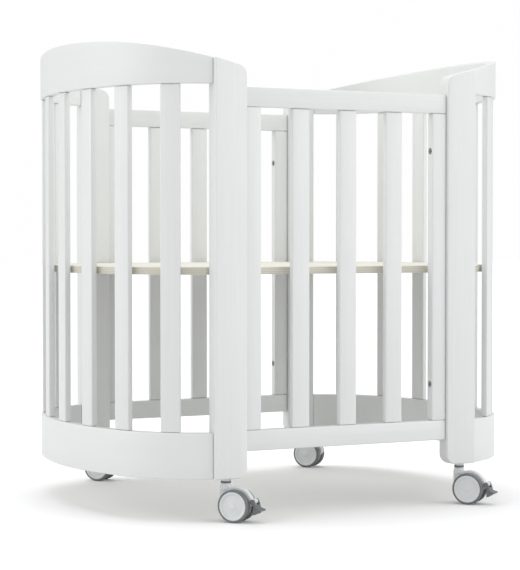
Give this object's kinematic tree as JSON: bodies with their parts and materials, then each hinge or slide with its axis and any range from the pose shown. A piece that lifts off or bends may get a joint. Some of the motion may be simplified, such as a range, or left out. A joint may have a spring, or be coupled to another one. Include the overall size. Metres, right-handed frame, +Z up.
{
  "type": "baby crib",
  "caption": "Small baby crib with two straight slatted sides, two bulging slatted ends under sloping top bands, a raised bed board and twin-wheel castors, the front ones with brakes.",
  "frame": {"origin": "middle of the bounding box in plan, on the floor that the castors stand on; the frame's own middle lies a little behind it because the wheels trail forwards", "axes": "+X along the straight sides from the left end to the right end, +Y from the front side to the back side, +Z up"},
  "size_m": [0.894, 0.7312, 0.8815],
  "materials": {
    "white_lacquer": "white satin lacquer on wood",
    "cream_plywood": "cream faced plywood with a bare edge",
    "dark_steel": "dark oxide steel",
    "zinc_steel": "zinc plated steel",
    "pale_grey_plastic": "moulded plastic, fine texture",
    "grey_tyre": "soft grey rubber tread",
    "dark_grey_plastic": "moulded plastic, fine texture"
  },
  "bodies": {
    "frame": {"back_bottom_rail": "white_lacquer", "back_left_castor_stem": "zinc_steel", "back_left_lower_bolt": "dark_steel", "back_left_post": "white_lacquer", "back_left_upper_bolt": "dark_steel", "back_right_castor_stem": "zinc_steel", "back_right_lower_bolt": "dark_steel", "back_right_post": "white_lacquer", "back_right_upper_bolt": "dark_steel", "back_slat_1": "white_lacquer", "back_slat_2": "white_lacquer", "back_slat_3": "white_lacquer", "back_stile_left": "white_lacquer", "back_stile_right": "white_lacquer", "back_top_rail": "white_lacquer", "bed_board": "cream_plywood", "front_bottom_rail": "white_lacquer", "front_left_castor_stem": "zinc_steel", "front_left_lower_bolt": "dark_steel", "front_left_post": "white_lacquer", "front_left_upper_bolt": "dark_steel", "front_right_castor_stem": "zinc_steel", "front_right_lower_bolt": "dark_steel", "front_right_post": "white_lacquer", "front_right_upper_bolt": "dark_steel", "front_slat_1": "white_lacquer", "front_slat_2": "white_lacquer", "front_slat_3": "white_lacquer", "front_stile_left": "white_lacquer", "front_stile_right": "white_lacquer", "front_top_rail": "white_lacquer", "left_end_bottom_band": "white_lacquer", "left_end_slat_1": "white_lacquer", "left_end_slat_2": "white_lacquer", "left_end_slat_3": "white_lacquer", "left_end_slat_4": "white_lacquer", "left_end_slat_5": "white_lacquer", "left_end_slat_6": "white_lacquer", "left_end_slat_7": "white_lacquer", "left_end_top_band": "white_lacquer", "right_end_bottom_band": "white_lacquer", "right_end_slat_1": "white_lacquer", "right_end_slat_2": "white_lacquer", "right_end_slat_3": "white_lacquer", "right_end_slat_4": "white_lacquer", "right_end_slat_5": "white_lacquer", "right_end_slat_6": "white_lacquer", "right_end_slat_7": "white_lacquer", "right_end_top_band": "white_lacquer"},
    "front_left_castor_fork": {"front_left_castor_housing": "pale_grey_plastic"},
    "front_left_castor_wheels": {"front_left_castor_wheel_pair": "grey_tyre"},
    "front_left_brake_lever": {"front_left_castor_brake_lever": "dark_grey_plastic"},
    "front_right_castor_fork": {"front_right_castor_housing": "pale_grey_plastic"},
    "front_right_castor_wheels": {"front_right_castor_wheel_pair": "grey_tyre"},
    "front_right_brake_lever": {"front_right_castor_brake_lever": "dark_grey_plastic"},
    "back_left_castor_fork": {"back_left_castor_housing": "pale_grey_plastic"},
    "back_left_castor_wheels": {"back_left_castor_wheel_pair": "grey_tyre"},
    "back_right_castor_fork": {"back_right_castor_housing": "pale_grey_plastic"},
    "back_right_castor_wheels": {"back_right_castor_wheel_pair": "grey_tyre"}
  },
  "joints": [
    {"name": "front_left_swivel", "type": "hinge", "parent": "frame", "child": "front_left_castor_fork", "pos_m": [-0.252, -0.30008, 0.07], "axis": [0, 0, 1], "continuous": true},
    {"name": "front_left_wheel_spin", "type": "hinge", "parent": "front_left_castor_fork", "child": "front_left_castor_wheels", "pos_m": [-0.23822, -0.31722, 0.03], "axis": [0.7793, 0.6266, 0], "continuous": true},
    {"name": "front_left_brake", "type": "hinge", "parent": "front_left_castor_fork", "child": "front_left_brake_lever", "pos_m": [-0.21628, -0.3445, 0.039], "axis": [0.7793, 0.6266, 0], "range_deg": [0, 18]},
    {"name": "front_right_swivel", "type": "hinge", "parent": "frame", "child": "front_right_castor_fork", "pos_m": [0.252, -0.30008, 0.07], "axis": [0, 0, 1], "continuous": true},
    {"name": "front_right_wheel_spin", "type": "hinge", "parent": "front_right_castor_fork", "child": "front_right_castor_wheels", "pos_m": [0.26578, -0.31722, 0.03], "axis": [0.7793, 0.6266, 0], "continuous": true},
    {"name": "front_right_brake", "type": "hinge", "parent": "front_right_castor_fork", "child": "front_right_brake_lever", "pos_m": [0.28772, -0.3445, 0.039], "axis": [0.7793, 0.6266, 0], "range_deg": [0, 18]},
    {"name": "back_left_swivel", "type": "hinge", "parent": "frame", "child": "back_left_castor_fork", "pos_m": [-0.252, 0.34792, 0.07], "axis": [0, 0, 1], "continuous": true},
    {"name": "back_left_wheel_spin", "type": "hinge", "parent": "back_left_castor_fork", "child": "back_left_castor_wheels", "pos_m": [-0.23822, 0.33077, 0.03], "axis": [0.7793, 0.6266, 0], "continuous": true},
    {"name": "back_right_swivel", "type": "hinge", "parent": "frame", "child": "back_right_castor_fork", "pos_m": [0.252, 0.34792, 0.07], "axis": [0, 0, 1], "continuous": true},
    {"name": "back_right_wheel_spin", "type": "hinge", "parent": "back_right_castor_fork", "child": "back_right_castor_wheels", "pos_m": [0.26578, 0.33077, 0.03], "axis": [0.7793, 0.6266, 0], "continuous": true}
  ]
}
